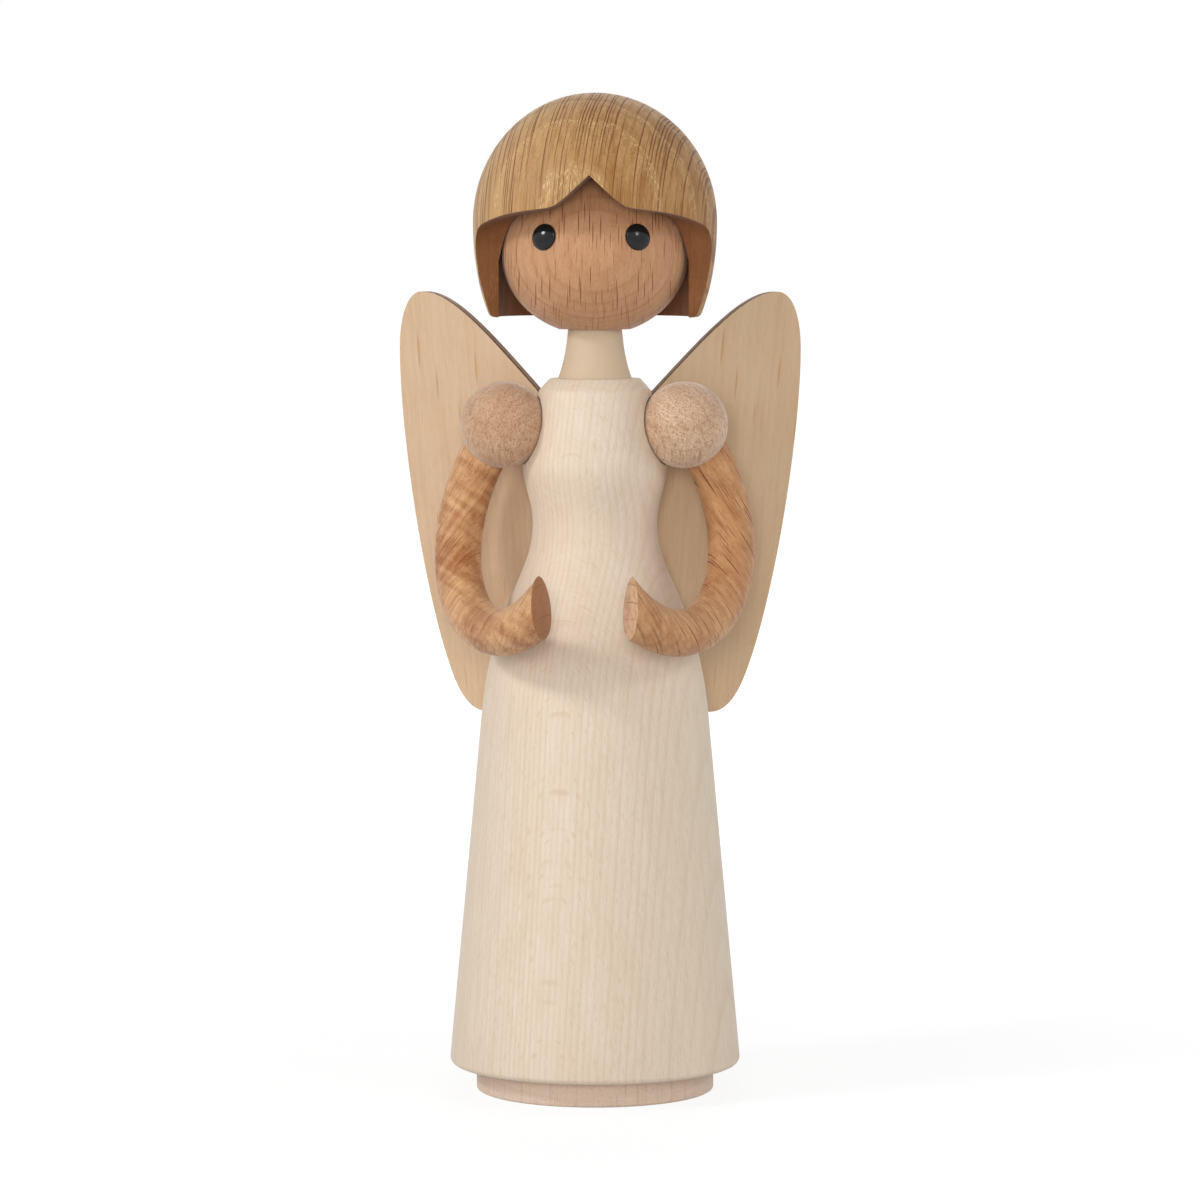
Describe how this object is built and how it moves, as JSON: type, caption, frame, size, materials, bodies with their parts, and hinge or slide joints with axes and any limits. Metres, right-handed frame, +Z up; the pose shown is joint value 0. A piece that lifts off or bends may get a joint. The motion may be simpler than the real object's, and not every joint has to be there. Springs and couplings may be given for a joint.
{
  "type": "wooden angel figurine",
  "caption": "Turned wooden angel with a flared dress on a foot disc, ball head under a bobbed hair cap, bead eyes, ball shoulders with ring-cut arms and flat blade wings.",
  "frame": {"origin": "middle of the foot disc's underside, where the figurine stands", "axes": "+Z up along the turning axis; the figure faces -Y and its left side is +X"},
  "size_m": [0.0818, 0.0679, 0.2001],
  "materials": {
    "maple_dress": "oiled satin",
    "maple_neck": "oiled satin",
    "beech_foot": "oiled satin",
    "beech_head": "oiled satin",
    "beech_ball": "oiled satin",
    "beech_arm": "oiled satin",
    "oak_hair": "oiled satin",
    "alder_wing": "oiled satin with dark cut edges",
    "birch_dowel": "raw",
    "black_bead": "polished opaque black"
  },
  "bodies": {
    "body": {"foot_disc": "beech_foot", "dress": "maple_dress", "neck": "maple_neck", "neck_dowel": "birch_dowel", "left_wing": "alder_wing", "right_wing": "alder_wing", "left_shoulder_peg": "birch_dowel", "right_shoulder_peg": "birch_dowel"},
    "head": {"head": "beech_head", "hair_cap": "oak_hair", "left_eye": "black_bead", "right_eye": "black_bead"},
    "left_arm": {"left_shoulder_ball": "beech_ball", "left_arm": "beech_arm", "left_arm_dowel": "birch_dowel"},
    "right_arm": {"right_shoulder_ball": "beech_ball", "right_arm": "beech_arm", "right_arm_dowel": "birch_dowel"}
  },
  "joints": [
    {"name": "head_turn", "type": "hinge", "parent": "body", "child": "head", "pos_m": [0, 0, 0.1531], "axis": [0, 0, 1], "continuous": true},
    {"name": "left_arm_swing", "type": "hinge", "parent": "body", "child": "left_arm", "pos_m": [0.01807, -0.00338, 0.1341], "axis": [-0.9829, 0.184, 0], "range_deg": [-5, 95]},
    {"name": "right_arm_swing", "type": "hinge", "parent": "body", "child": "right_arm", "pos_m": [-0.01807, -0.00338, 0.1341], "axis": [-0.9829, -0.184, 0], "range_deg": [-5, 95]}
  ]
}
